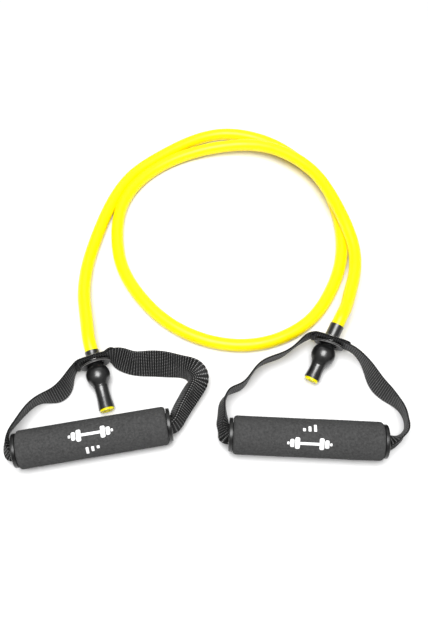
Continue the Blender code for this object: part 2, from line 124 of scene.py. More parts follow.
# Grommet and stop washer
BALL_FROM_STACK = 0.0134
BARREL_BORE_RADIUS = 0.0064
BARREL_RADIUS = 0.0071
FLANGE_RADIUS = 0.010
FLANGE_THICKNESS = 0.0011
FLANGE_LIFT = 0.0002
FLANGE_BEVEL = 0.0012
FLANGE_BEVEL_DROP = 0.0004
SET_LIP_WIDTH = 0.0014
SET_LIP_HEIGHT = 0.0004
RING_CLEARANCE = 0.0002
RING_SHOULDER = 0.0008
RING_SHOULDER_INSET = 0.0003
RING_TOP_INSET = 0.0014
WASHER_RADIUS = 0.0125
WASHER_BORE_RADIUS = 0.0069
WASHER_START = 0.0034
WASHER_THICKNESS = 0.0015

# Webbing
STRAP_WIDTH = 0.025
STRAP_THICKNESS = 0.0014
STRAP_LAYER_OFFSET = 0.00085
STRAP_HOLE_RADIUS = 0.0074
STRAP_FOLD_HALF = 0.0018
OVERLAP_FLAT = 0.0103
OVERLAP_END = 0.0165
OVERLAP_STEPS = (0.0, 0.5 * OVERLAP_FLAT, OVERLAP_FLAT, 0.0124, 0.0144, OVERLAP_END)
STRAP_CORNER = 0.0045
STRAP_SAMPLES = 6000
SECTION_SAMPLES = 201
MOST_FOLD = 170.0
HOLE_REACH = 0.003
WARP_YARNS = 17
PICK_PITCH = 0.0019
ROWS_PER_PICK = 4
WEAVE_RELIEF = 0.00024
WEAVE_LOW_CROWN = 0.3
WEAVE_UNDER = 0.35
SELVEDGE_THICKNESS = 0.55
SELVEDGE_SCALLOP = 0.00012

# Folding of the webbing in the grip's bore: distance in from the caps' faces, fold in degrees
BORE_FOLDS = ((0.0005, 132.0), (0.004, 152.0), (0.012, 166.0))
BORE_MIDDLE_FOLD = 168.0

# Grip
FOAM_LENGTH = 0.116
FOAM_RADIUS = 0.015
FOAM_BORE_RADIUS = 0.0115
CORE_RADIUS = 0.0112
CORE_BORE_RADIUS = 0.01
CAP_GAP = 0.0003
CAP_FLANGE = 0.003
CAP_RADIUS = 0.0132
CAP_SPIGOT_RADIUS = 0.0097
CAP_SPIGOT_LENGTH = 0.012
CAP_BORE_RADIUS = 0.0086
CAP_GROOVE_OUTER = 0.0115
CAP_GROOVE_INNER = 0.0103
CAP_GROOVE_SLOPE = 0.0003
CAP_GROOVE_DEPTH = 0.0003
GRIP_SIDES = 28
GRIP_AXIS_HEIGHT = FOAM_RADIUS * math.cos(math.pi / GRIP_SIDES)
GRIP_HALF = FOAM_LENGTH / 2.0 + CAP_GAP + CAP_FLANGE
FOAM_SIDES = 192
FOAM_RINGS = 250
FOAM_EDGE = 0.0028
FOAM_EDGE_STEPS = 8
FOAM_LOWEST = 0.00002
FOAM_SWELL = 0.00010
FOAM_CELLS = 0.00007
FOAM_SEEDS = {"left": 0.0, "right": 0.5}

# Printed marks, and the layers of each one's skin: share of its outline, lift from the foam
PRINT_LIFT = 0.00007
PRINT_LAYERS = (
    *((share, PRINT_LIFT) for share in (0.03, 0.2, 0.4, 0.6, 0.8, 0.94)),
    (1.0, 0.5 * PRINT_LIFT),
    *((share, -PRINT_LIFT) for share in (1.0, 0.5, 0.03)),
)

# Points round each turned part, and steps along each of its rounded corners
TURNED_SIDES = 96
CORNER_STEPS = 5

# Route of the tube's centre line between the sleeve mouths. Most of it lies flat.
TUBE_LYING = 0.0056
TUBE_LOOP = (
    (-0.106, 0.074),
    (-0.096, 0.108),
    (-0.077, 0.143),
    (-0.052, 0.165),
    (-0.024, 0.183),
    (0.006, 0.193),
    (0.035, 0.190),
    (0.064, 0.176),
    (0.083, 0.159),
    (0.101, 0.138),
    (0.112, 0.108),
    (0.116, 0.074),
    (0.112, 0.042),
    (0.100, 0.012),
    (0.084, -0.011),
    (0.064, -0.026),
    (0.039, -0.035),
    (0.013, -0.036),
    (-0.012, -0.030),
    (-0.038, -0.016),
    (-0.064, 0.010),
    (-0.082, 0.042),
    (-0.088, 0.074),
    (-0.085, 0.108),
    (-0.070, 0.136),
)
TUBE_ROUTE = (
    (-0.106, -0.023, 0.0170),
    (-0.109, -0.008, 0.0145),
    (-0.112, 0.009, 0.0110),
    (-0.113, 0.026, 0.0080),
    (-0.112, 0.044, 0.0060),
    *((x, y, TUBE_LYING) for x, y in TUBE_LOOP),
    (-0.047, 0.156, 0.0060),
    (-0.014, 0.170, 0.0080),
    (0.015, 0.174, 0.0110),
    (0.044, 0.171, 0.0145),
    (0.072, 0.157, 0.0172),
    (0.094, 0.136, 0.0174),
    (0.108, 0.109, 0.0174),
    (0.115, 0.090, 0.0173),
    (0.120, 0.074, 0.0162),
    (0.124, 0.056, 0.0140),
    (0.124, 0.038, 0.0130),
    (0.121, 0.023, 0.0140),
    (0.116, 0.007, 0.0165),
    (0.111, -0.008, 0.0195),
)

# Each handle. Mouth and end are the sleeve's two ends. The arms hold x, y, z, lean and fold of the
# webbing's middle line, lean and fold in degrees. Marks gives each mark's angle from the top of
# the grip, away from the loop.
HANDLES = {
    "left": {
        "mouth": (-0.1001, -0.0475, 0.0159),
        "end": (-0.0858, -0.0936, 0.0074),
        "ball_at": 0.0203,
        "grip": (-0.0938, -0.1201),
        "turn": 10.0,
        "tilt": 3.0,
        "bend_left": 0.009,
        "bend_right": 0.010,
        "twist_right": -19.0,
        "left_arm": (
            (-0.1185, -0.0755, 0.0140, -9, 0),
            (-0.1260, -0.0840, 0.0140, -8, 0),
            (-0.1405, -0.0890, 0.0138, 9, 0),
            (-0.1475, -0.0950, 0.0138, 12, 0),
            (-0.1560, -0.1075, 0.0138, 16, 0),
            (-0.1600, -0.1155, 0.0140, 18, 6),
            (-0.1605, -0.1225, 0.0143, 18, 25),
            (-0.1580, -0.1285, 0.0147, 18, 70),
        ),
        "right_arm": (
            (-0.0306, -0.1068, 0.0150, -90, 130),
            (-0.0278, -0.1005, 0.0150, -90, 122),
            (-0.0232, -0.0905, 0.0150, -86, 112),
            (-0.0172, -0.0790, 0.0147, -80, 102),
            (-0.0146, -0.0710, 0.0142, -64, 84),
            (-0.0170, -0.0650, 0.0133, -40, 46),
            (-0.0240, -0.0602, 0.0124, -24, 12),
            (-0.0345, -0.0575, 0.0118, -29, 0),
            (-0.0525, -0.0560, 0.0117, -33, 0),
            (-0.0655, -0.0560, 0.0122, -28, 0),
        ),
        "bore_lean": (20, -90),
        "marks": {"dumbbell": 6.0, "bars": 55.0, "upside_down": True},
    },
    "right": {
        "mouth": (0.1020, -0.0257, 0.0201),
        "end": (0.0800, -0.0675, 0.0074),
        "ball_at": 0.0266,
        "grip": (0.0728, -0.1204),
        "turn": -2.7,
        "tilt": 8.0,
        "bend_left": 0.009,
        "bend_right": 0.060,
        "twist_right": 0.0,
        "left_arm": (
            (0.0665, -0.0415, 0.0142, 13, 0),
            (0.0560, -0.0490, 0.0138, 13, 0),
            (0.0460, -0.0530, 0.0138, 13, 0),
            (0.0370, -0.0580, 0.0138, 12, 0),
            (0.0290, -0.0685, 0.0138, 8, 0),
            (0.0215, -0.0770, 0.0138, 8, 0),
            (0.0120, -0.0820, 0.0138, 10, 10),
            (0.0080, -0.0885, 0.0140, 12, 20),
            (0.0072, -0.0975, 0.0145, 12, 35),
            (0.0078, -0.1070, 0.0150, 14, 60),
            (0.0092, -0.1142, 0.0150, 15, 95),
        ),
        "right_arm": (
            (0.1420, -0.1215, 0.0146, 0, 50),
            (0.1480, -0.1165, 0.0142, 0, 25),
            (0.1510, -0.1080, 0.0138, 6, 0),
            (0.1500, -0.0980, 0.0136, 8, 0),
            (0.1455, -0.0905, 0.0136, 4, 0),
            (0.1400, -0.0845, 0.0136, -4, 0),
            (0.1325, -0.0760, 0.0137, -10, 0),
            (0.1280, -0.0675, 0.0138, -8, 0),
            (0.1240, -0.0575, 0.0142, 2, 0),
        ),
        "bore_lean": (40, 0),
        "marks": {"dumbbell": 35.0, "bars": -12.0, "upside_down": False},
    },
}


# Camera, lights and floor


def add_camera():
    data = bpy.data.cameras.new("camera")
    data.lens = CAMERA_LENS
    data.sensor_width = CAMERA_SENSOR
    camera = bpy.data.objects.new("camera", data)
    camera.location = CAMERA_PLACE
    camera.rotation_euler = (math.radians(CAMERA_FROM_PLUMB), 0.0, 0.0)
    bpy.context.scene.collection.objects.link(camera)
    bpy.context.scene.camera = camera


def add_light(name, place, size, power):
    data = bpy.data.lights.new(name, "AREA")
    data.shape = "RECTANGLE"
    data.size = size[0]
    data.size_y = size[1]
    data.energy = power
    light = bpy.data.objects.new(name, data)
    light.location = place
    light.rotation_euler = (-Vector(place)).to_track_quat("-Z", "Y").to_euler()
    bpy.context.scene.collection.objects.link(light)


def add_studio():
    scene = bpy.context.scene
    scene.view_settings.view_transform = "Standard"
    world = bpy.data.worlds.new("studio")
    world.use_nodes = True
    background = world.node_tree.nodes["Background"]
    background.inputs["Color"].default_value = (1.0, 1.0, 1.0, 1.0)
    background.inputs["Strength"].default_value = WORLD_STRENGTH
    scene.world = world
    for name, (place, size, power) in LIGHTS.items():
        add_light(name, place, size, power)


def add_floor(material):
    mesh = bpy.data.meshes.new("floor")
    signs = ((-1.0, -1.0), (1.0, -1.0), (1.0, 1.0), (-1.0, 1.0))
    corners = [(sign_x * FLOOR_HALF, sign_y * FLOOR_HALF, 0.0) for sign_x, sign_y in signs]
    mesh.from_pydata(corners, [], [(0, 1, 2, 3)])
    mesh.materials.append(material)
    floor = bpy.data.objects.new("floor", mesh)
    bpy.context.scene.collection.objects.link(floor)


# Materials


def node(tree, kind, inputs=None, **settings):
    """A shader node whose inputs are values or other nodes' output sockets."""
    made = tree.nodes.new(kind)
    for name, value in settings.items():
        setattr(made, name, value)
    for name, value in (inputs or {}).items():
        if isinstance(value, bpy.types.NodeSocket):
            tree.links.new(value, made.inputs[name])
        else:
            made.inputs[name].default_value = value
    return made


def start_material(name, **values):
    """A material and its Principled shader, with the values that are the same all over it."""
    material = bpy.data.materials.new(name)
    material.use_nodes = True
    shader = material.node_tree.nodes["Principled BSDF"]
    for label, value in values.items():
        shader.inputs[label.replace("_", " ")].default_value = value
    return material, material.node_tree, shader


def grey(value, warmth=0.0):
    return (value * (1.0 + warmth), value, value * (1.0 - warmth), 1.0)


def coordinates(tree, scale=(1.0, 1.0, 1.0), source="Object"):
    made = node(tree, "ShaderNodeTexCoord")
    stretch = node(tree, "ShaderNodeMapping", {"Vector": made.outputs[source], "Scale": scale})
    return stretch.outputs["Vector"]


def noise_value(tree, scale, detail=4.0, roughness=0.5, vector=None):
    if vector is None:
        vector = coordinates(tree)
    values = {"Vector": vector, "Scale": scale, "Detail": detail, "Roughness": roughness}
    return node(tree, "ShaderNodeTexNoise", values).outputs["Fac"]


def spread(tree, value, low, high, start=0.3, finish=0.7):
    """A value between start and finish carried over to low and high."""
    values = {"Value": value, "From Min": start, "From Max": finish, "To Min": low, "To Max": high}
    return node(tree, "ShaderNodeMapRange", values).outputs["Result"]


def blend_colours(tree, share, first, second):
    mixer = node(tree, "ShaderNodeMix", data_type="RGBA")
    tree.links.new(share, mixer.inputs[0])
    for socket, value in ((mixer.inputs[6], first), (mixer.inputs[7], second)):
        if isinstance(value, bpy.types.NodeSocket):
            tree.links.new(value, socket)
        else:
            socket.default_value = value
    return mixer.outputs[2]


def surface(tree, shader, colour, value, smooth, rough):
    """The shader's colour, and its roughness as the value goes from low to high."""
    tree.links.new(colour, shader.inputs["Base Color"])
    tree.links.new(spread(tree, value, smooth, rough), shader.inputs["Roughness"])


def bump(tree, shader, height, strength, distance, below=None):
    values = {"Height": height, "Strength": strength, "Distance": distance}
    if below is not None:
        values["Normal"] = below
    made = node(tree, "ShaderNodeBump", values)
    tree.links.new(made.outputs["Normal"], shader.inputs["Normal"])
    return made.outputs["Normal"]


def latex_material():
    """Dipped latex: a deep clean yellow, slightly cloudy, with fine lines along its length."""
    material, tree, shader = start_material(
        "yellow latex", Subsurface_Weight=0.5, Subsurface_Scale=0.006, IOR=1.38
    )
    shader.inputs["Subsurface Radius"].default_value = (1.0, 0.8, 0.1)
    cloud = noise_value(tree, 38.0)
    deep = (0.96, 0.74, 0.0, 1.0)
    clear = (1.0, 0.83, 0.0, 1.0)
    colour = blend_colours(tree, spread(tree, cloud, 0.0, 1.0), deep, clear)
    bloom = noise_value(tree, 160.0, 6.0, 0.6)
    surface(tree, shader, colour, bloom, 0.3, 0.42)
    along = coordinates(tree, (1800.0, 30.0, 1.0), "UV")
    lines = noise_value(tree, 1.0, 2.0, vector=along)
    first = bump(tree, shader, lines, 0.12, 0.0002)
    bump(tree, shader, noise_value(tree, 1500.0, 3.0), 0.06, 0.0002, first)
    return material


def foam_material():
    """Closed-cell rubber foam: charcoal, matt, mottled, with fine open cells at the skin."""
    material, tree, shader = start_material("charcoal foam", Specular_IOR_Level=0.15)
    mottle = noise_value(tree, 560.0, 6.0, 0.7)
    drift = noise_value(tree, 45.0, 2.0)
    base = blend_colours(tree, spread(tree, mottle, 0.0, 1.0), grey(0.026), grey(0.074))
    base = blend_colours(tree, spread(tree, drift, 0.0, 0.3), base, grey(0.06))
    cells = node(tree, "ShaderNodeTexVoronoi", {"Vector": coordinates(tree), "Scale": 1300.0})
    pores = spread(tree, cells.outputs["Distance"], 1.0, 0.0, 0.05, 0.3)
    base = blend_colours(tree, spread(tree, pores, 0.0, 0.55, 0.0, 1.0), base, grey(0.02))
    surface(tree, shader, base, mottle, 0.82, 0.97)
    first = bump(tree, shader, cells.outputs["Distance"], 0.35, 0.0004)
    bump(tree, shader, mottle, 0.3, 0.0006, first)
    return material


def webbing_material():
    """Black polyester webbing, its colour painted with shade between the yarns and a highlight of
    filaments catching light on their crowns.
    """
    material, tree, shader = start_material(
        "black webbing", Sheen_Weight=0.02, Sheen_Roughness=0.4, IOR=1.33
    )
    rise = node(tree, "ShaderNodeAttribute", attribute_name="rise").outputs["Fac"]
    along = coordinates(tree, (2600.0, 300.0, 1.0), "UV")
    streaks = noise_value(tree, 1.0, 3.0, vector=along)
    # Crowns get a painted highlight, dimmed in random patches; the valleys between yarns get
    # painted shade.
    crown = blend_colours(tree, spread(tree, streaks, 0.0, 1.0), grey(0.16), grey(0.48))
    height = spread(tree, rise, 0.0, 1.0, 0.42, 0.66)
    patches = noise_value(tree, 70.0, 3.0)
    crown = blend_colours(tree, spread(tree, patches, 0.0, 0.55), crown, grey(0.08))
    base = blend_colours(tree, height, grey(0.0005), crown)
    surface(tree, shader, base, streaks, 0.45, 0.75)
    bump(tree, shader, streaks, 0.35, 0.0002)
    return material


def sleeve_material():
    """Heat-shrunk black rubber with a satin face and faint handling marks."""
    material, tree, shader = start_material("black satin rubber", IOR=1.75)
    haze = noise_value(tree, 220.0, 5.0, 0.6)
    base = blend_colours(tree, spread(tree, haze, 0.0, 1.0), grey(0.005), grey(0.012))
    surface(tree, shader, base, haze, 0.27, 0.36)
    bump(tree, shader, noise_value(tree, 700.0, 4.0), 0.1, 0.0003)
    return material


def metal_material(name, dark, worn_and_highlight, roughness, **values):
    """Plated or painted steel whose edges are a little brighter than its faces, partly rubbed wear
    and partly a painted highlight.
    """
    material, tree, shader = start_material(name, **values)
    edge = node(tree, "ShaderNodeAttribute", attribute_name="edge").outputs["Fac"]
    scuffs = noise_value(tree, 420.0, 8.0, 0.7)
    patchy = spread(tree, scuffs, 0.2, 1.0)
    # Edges brighter by a share that is partly rubbed wear and partly a painted highlight.
    rubbed_and_highlit = node(tree, "ShaderNodeMath", {0: edge, 1: patchy}, operation="MULTIPLY")
    base = blend_colours(tree, rubbed_and_highlit.outputs["Value"], grey(dark), grey(worn_and_highlight, 0.02))
    surface(tree, shader, base, scuffs, roughness, roughness + 0.16)
    bump(tree, shader, noise_value(tree, 1900.0, 3.0), 0.08, 0.0001)
    return material


def plastic_material(name, low, high, roughness, scale):
    """Moulded plastic with a faint flow pattern and fine surface texture."""
    material, tree, shader = start_material(name, IOR=1.5)
    flow = noise_value(tree, scale, 5.0, 0.55)
    base = blend_colours(tree, spread(tree, flow, 0.0, 1.0), low, high)
    surface(tree, shader, base, flow, roughness, roughness + 0.12)
    bump(tree, shader, noise_value(tree, 1600.0, 3.0), 0.05, 0.0002)
    return material


def ink_material():
    """Screen-printed white that the foam's cells break up a little."""
    material, tree, shader = start_material("white print")
    gaps = noise_value(tree, 1500.0, 6.0, 0.7)
    base = blend_colours(tree, spread(tree, gaps, 1.0, 0.0, 0.30, 0.40), grey(0.86), grey(0.25))
    surface(tree, shader, base, gaps, 0.55, 0.75)
    bump(tree, shader, gaps, 0.2, 0.0002)
    return material


def floor_material():
    material, tree, shader = start_material("pale floor", Specular_IOR_Level=0.2)
    shade = noise_value(tree, 6.0, 3.0)
    base = blend_colours(tree, spread(tree, shade, 0.0, 1.0), grey(0.80), grey(0.82))
    surface(tree, shader, base, shade, 0.7, 0.8)
    return material


# Mesh helpers


def axis_frame(point, direction):
    """World matrix at a point, its Z along the direction and its X as level as it can be."""
    z_axis = Vector(direction).normalized()
    y_axis = (UP - z_axis * UP.dot(z_axis)).normalized()
    x_axis = y_axis.cross(z_axis)
    turn = Matrix((x_axis, y_axis, z_axis)).transposed().to_4x4()
    return Matrix.Translation(point) @ turn


def natural_spline(knots, values, wanted):
    """Natural cubic curve through values at rising knots, read at the wanted places."""
    knots = np.asarray(knots, dtype=float)
    values = np.asarray(values, dtype=float)
    count = len(knots)
    gaps = np.diff(knots)[:, None]
    slopes = np.diff(values, axis=0) / gaps
    system = np.eye(count)
    target = np.zeros_like(values)
    for index in range(1, count - 1):
        system[index, index - 1] = gaps[index - 1, 0]
        system[index, index] = 2.0 * (gaps[index - 1, 0] + gaps[index, 0])
        system[index, index + 1] = gaps[index, 0]
        target[index] = 6.0 * (slopes[index] - slopes[index - 1])
    bends = np.linalg.solve(system, target)
    wanted = np.asarray(wanted, dtype=float)
    place = np.clip(np.searchsorted(knots, wanted, side="right") - 1, 0, count - 2)
    gap = gaps[place]
    after = (wanted - knots[place])[:, None]
    before = gap - after
    curved = (bends[place] * before**3 + bends[place + 1] * after**3) / (6.0 * gap)
    start = (values[place] / gap - bends[place] * gap / 6.0) * before
    finish = (values[place + 1] / gap - bends[place + 1] * gap / 6.0) * after
    return curved + start + finish


def chord_knots(points):
    steps = np.linalg.norm(np.diff(points, axis=0), axis=1)
    return np.concatenate(([0.0], np.cumsum(steps)))


def grain(point, size, octaves=2):
    """Soft noise about 0 whose patches are about the given size."""
    return noise.fractal(Vector(point) / size, 1.0, 2.0, octaves)


def finish_mesh(name, points, faces, material, sharp=40.0):
    mesh = bpy.data.meshes.new(name)
    mesh.from_pydata(points, [], faces)
    cleaner = bmesh.new()
    cleaner.from_mesh(mesh)
    bmesh.ops.recalc_face_normals(cleaner, faces=cleaner.faces)
    cleaner.to_mesh(mesh)
    cleaner.free()
    mesh.shade_smooth()
    mesh.set_sharp_from_angle(angle=math.radians(sharp))
    mesh.materials.append(material)
    obj = bpy.data.objects.new(name, mesh)
    bpy.context.scene.collection.objects.link(obj)
    return obj


def paint(obj, name, values):
    """A value at each point, for the material to read."""
    layer = obj.data.attributes.new(name, "FLOAT", "POINT")
    layer.data.foreach_set("value", np.asarray(values, dtype=np.float32).ravel())


def lay_out(obj, places):
    """UV map from a flat place, in metres, for each point."""
    corners = np.zeros(len(obj.data.loops), dtype=np.int32)
    obj.data.loops.foreach_get("vertex_index", corners)
    layer = obj.data.uv_layers.new(name="lay")
    layer.data.foreach_set("uv", np.asarray(places, dtype=np.float32)[corners].ravel())


def grid_faces(rows, columns, wrap_rows):
    """Quads of a grid closed across its columns, and closed across its rows or else capped."""
    faces = []
    for row in range(rows if wrap_rows else rows - 1):
        here = row * columns
        there = ((row + 1) % rows) * columns
        for column in range(columns):
            after = (column + 1) % columns
            faces.append((here + column, here + after, there + after, there + column))
    if not wrap_rows:
        faces.append(tuple(range(columns)))
        faces.append(tuple(range((rows - 1) * columns, rows * columns)))
    return faces


def rounded(corners):
    """Closed outline through (radius, height, cut) corners, each rounded by its cut.

    With it comes each point's share of rubbed wear and painted highlight, about 1 at the middle of
    a rounded corner and 0 off it.
    """
    outline = []
    wear_and_highlight = []
    count = len(corners)
    for index, (radius, height, cut) in enumerate(corners):
        corner = Vector((radius, height))
        before = (Vector(corners[index - 1][:2]) - corner).normalized()
        after = (Vector(corners[(index + 1) % count][:2]) - corner).normalized()
        if not cut:
            outline.append(corner)
            wear_and_highlight.append(0.0)
            continue
        start = corner + before * cut
        finish = corner + after * cut
        for step in range(CORNER_STEPS + 1):
            share = step / CORNER_STEPS
            rest = 1.0 - share
            outline.append(start * rest**2 + corner * 2.0 * share * rest + finish * share**2)
            wear_and_highlight.append(4.0 * share * rest)
    return outline, wear_and_highlight


def polar(radius, angle, height):
    return Vector((radius * math.cos(angle), radius * math.sin(angle), height))


def turned(name, corners, place, material, ripple=None):
    """A rounded outline turned about the frame's Z. Ripple adds to the radius."""
    outline, wear_and_highlight = rounded(corners)
    points = []
    for step in range(TURNED_SIDES):
        angle = 2.0 * math.pi * step / TURNED_SIDES
        for radius, height in outline:
            grown = radius + (ripple(angle, height, radius) if ripple else 0.0)
            points.append(place @ polar(grown, angle, height))
    obj = finish_mesh(name, points, grid_faces(TURNED_SIDES, len(outline), True), material)
    # The edge share sets rubbed wear and a painted highlight in the metal's colour.
    paint(obj, "edge", wear_and_highlight * TURNED_SIDES)
    return obj


def dress(piece, body, slot, *nodes):
    """The piece rides on the body and stands for the model's nodes. The slot is not used."""
    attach(piece, body)
    if nodes:
        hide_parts(*nodes)
    return piece


# Handle frames


def handle_frames(handle):
    """The sleeve's mouth and direction, the ball, the grommet and the grip of one handle."""
    mouth = Vector(handle["mouth"]) + LAYOUT_OFFSET
    tilt = Matrix.Rotation(math.radians(handle["tilt"]), 3, "Z")
    along = (Vector(handle["end"]) - Vector(handle["mouth"])).normalized()
    ball = mouth + along * handle["ball_at"]
    turn = math.radians(handle["turn"])
    return {
        "mouth": mouth,
        "along": along,
        "ball": ball,
        "stack": ball - along * BALL_FROM_STACK,
        "stack_axis": tilt @ along,
        "grip": Vector((*handle["grip"], GRIP_AXIS_HEIGHT)) + LAYOUT_OFFSET,
        "grip_axis": Vector((math.cos(turn), math.sin(turn), 0.0)),
    }


# Latex tube


def tube_path(frames):
    """Points close together along the tube's centre line, evenly spaced."""
    route = [Vector(point) + LAYOUT_OFFSET for point in TUBE_ROUTE]
    ends = []
    for side in ("left", "right"):
        mouth = frames[side]["mouth"]
        along = frames[side]["along"]
        ends.append([mouth - along * TUBE_STANDOFF, mouth - along * TUBE_STRAIGHT])
    route = np.array(ends[0] + route + ends[1][::-1])
    knots = chord_knots(route)
    fine = natural_spline(knots, route, np.linspace(0.0, knots[-1], TUBE_SAMPLES))
    run = chord_knots(fine)
    places = np.linspace(0.0, run[-1], int(round(run[-1] / TUBE_RING_STEP)) + 1)
    return np.stack([np.interp(places, run, fine[:, axis]) for axis in range(3)], axis=1)


def add_tube(frames, material):
    """The free tube, a little oval where it bends and never quite even."""
    path = tube_path(frames)
    heading = np.gradient(path, axis=0)
    heading /= np.linalg.norm(heading, axis=1)[:, None]
    turning = np.linalg.norm(np.gradient(heading, axis=0), axis=1) / TUBE_RING_STEP
    points = []
    places = []
    for ring, (centre, forward) in enumerate(zip(path, heading)):
        side = UP.cross(Vector(forward)).normalized()
        rise = Vector(forward).cross(side)
        squeeze = min(turning[ring] * TUBE_RADIUS * TUBE_SQUEEZE, TUBE_MOST_SQUEEZE)
        for step in range(TUBE_SIDES):
            angle = 2.0 * math.pi * step / TUBE_SIDES
            around = side * (math.cos(angle) * (1.0 - squeeze)) + rise * math.sin(angle)
            point = Vector(centre) + around * TUBE_RADIUS
            points.append(point + around * (TUBE_UNEVEN * grain(point, 0.006)))
            places.append((angle * TUBE_RADIUS, ring * TUBE_RING_STEP))
    tube = finish_mesh("tube", points, grid_faces(len(path), TUBE_SIDES, False), material)
    lay_out(tube, places)
    dress(tube, "band", "yellow_latex", "latex_tube")


# Sleeves and tube ends


def sleeve_profile(ball_at):
    """(radius, height) points on a smooth curve along the sleeve's outside, from mouth to tail."""
    knots = [-SLEEVE_LEVEL_HALF, SLEEVE_LEVEL_HALF]
    radii = [SLEEVE_NECK_RADIUS, SLEEVE_NECK_RADIUS]
    for past_ball, share in SLEEVE_BULGE:
        knots.append(ball_at + past_ball)
        radii.append(SLEEVE_NECK_RADIUS + share * (SLEEVE_BULGE_RADIUS - SLEEVE_NECK_RADIUS))
    knots.append(SLEEVE_LENGTH)
    radii.append(SLEEVE_TAIL_RADIUS)
    fine = np.linspace(knots[0], knots[-1], SLEEVE_SAMPLES)
    curve = natural_spline(knots, np.array(radii)[:, None], fine)[:, 0]
    heights = [SLEEVE_LENGTH * step / SLEEVE_STEPS for step in range(SLEEVE_STEPS + 1)]
    return list(zip(np.interp(heights, fine, curve).tolist(), heights))


def add_sleeve(side, place, ball_at, material):
    """Heat-shrunk sleeve, a little swollen at its mouth and wrinkled just past the ball."""
    outside = sleeve_profile(ball_at)
    bore = TUBE_RADIUS + MOUTH_GAP
    swollen = SLEEVE_NECK_RADIUS + MOUTH_SWELL
    corners = [(bore, -MOUTH_LIP, 0.00008), (swollen, -MOUTH_LIP, 0.00018)]
    for radius, height in outside[:-1]:
        swell = MOUTH_SWELL * math.exp(-((height / MOUTH_SWELL_REACH) ** 2))
        corners.append((radius + swell, height, 0.0))
    corners.append((SLEEVE_TAIL_RADIUS, SLEEVE_LENGTH, 0.0003))
    corners.append((SLEEVE_TAIL_RADIUS - SLEEVE_WALL, SLEEVE_LENGTH, 0.0001))
    corners += [(radius - SLEEVE_WALL, height, 0.0) for radius, height in outside[-2:0:-1]]
    corners += [(SLEEVE_NECK_RADIUS - SLEEVE_WALL, 0.0, 0.0), (bore, -MOUTH_GAP, 0.0)]

    def wrinkle(angle, height, radius):
        if radius < SLEEVE_NECK_RADIUS - MOUTH_SWELL:
            return 0.0
        folds = math.exp(-(((height - ball_at - WRINKLE_FROM_BALL) / WRINKLE_REACH) ** 2))
        wave = math.sin(WRINKLE_WAVES * height + 2.0 * math.sin(3.0 * angle))
        uneven = SLEEVE_UNEVEN * grain(polar(radius, angle, height), 0.005)
        return WRINKLE_HEIGHT * folds * wave + uneven

    sleeve = turned(f"{side}_sleeve", corners, place, material, wrinkle)
    dress(sleeve, "band", "black_sleeve", f"{side}_tube_sleeve")


def add_cut_end(side, place, ball_at, material):
    """The tube's end in the sleeve, standing out of its tail, with a pocket round the ball."""
    outside = sleeve_profile(ball_at)
    skin = [(radius - SLEEVE_WALL - SLEEVE_CLEARANCE, height, 0.0) for radius, height in outside]
    tail = skin[-1][0]
    proud = SLEEVE_LENGTH + TUBE_END_PROUD
    skin += [(tail + CUT_FLARE, SLEEVE_LENGTH + CUT_FLARE_HEIGHT, 0.0), (tail, proud, 0.0004)]
    bore = [(TUBE_BORE_RADIUS, proud, 0.0002)]
    for step in range(POCKET_STEPS + 1):
        offset = POCKET_HALF - 2.0 * POCKET_HALF * step / POCKET_STEPS
        pocket = math.sqrt(max((BALL_RADIUS + POCKET_CLEARANCE) ** 2 - offset**2, 0.0))
        bore.append((max(pocket + POCKET_EXTRA, TUBE_BORE_RADIUS), ball_at + offset, 0.0))
    bore.append((TUBE_BORE_RADIUS, 0.0, 0.0))

    def cut_face(angle, height, radius):
        if height < SLEEVE_LENGTH + 0.5 * TUBE_END_PROUD:
            return 0.0
        point = (3.0 * math.cos(angle), 3.0 * math.sin(angle), radius * 400.0)
        return CUT_FACE_UNEVEN * grain(point, 1.0)

    end = turned(f"{side}_cut_end", skin + bore, place, material, cut_face)
    dress(end, "band", "yellow_latex", f"{side}_tube_end")


def add_ball(side, place, material):
    """Moulded ball with the thin ridge of its mould's parting line."""
    points = []
    for ring in range(BALL_RINGS):
        degrees = -BALL_POLE_DEGREES + 2.0 * BALL_POLE_DEGREES * ring / (BALL_RINGS - 1)
        lift = math.radians(degrees)
        radius = BALL_RADIUS + BALL_SEAM * math.exp(-((lift / BALL_SEAM_REACH) ** 2))
        flat = radius * math.cos(lift)
        for step in range(BALL_SIDES):
            angle = 2.0 * math.pi * step / BALL_SIDES
            points.append(place @ polar(flat, angle, radius * math.sin(lift)))
    ball = finish_mesh(f"{side}_ball", points, grid_faces(BALL_RINGS, BALL_SIDES, False), material)
    dress(ball, "band", "white_nylon", f"{side}_plug_ball")


def add_tube_end(side, here, ball_at, materials):
    """One end of the band: the sleeve, the tube's cut end and the ball that holds the handle on."""
    place = axis_frame(here["mouth"], here["along"])
    add_sleeve(side, place, ball_at, materials["sleeve"])
    add_cut_end(side, place, ball_at, materials["latex"])
    add_ball(side, axis_frame(here["ball"], here["along"]), materials["ball"])


# Grommet and washer


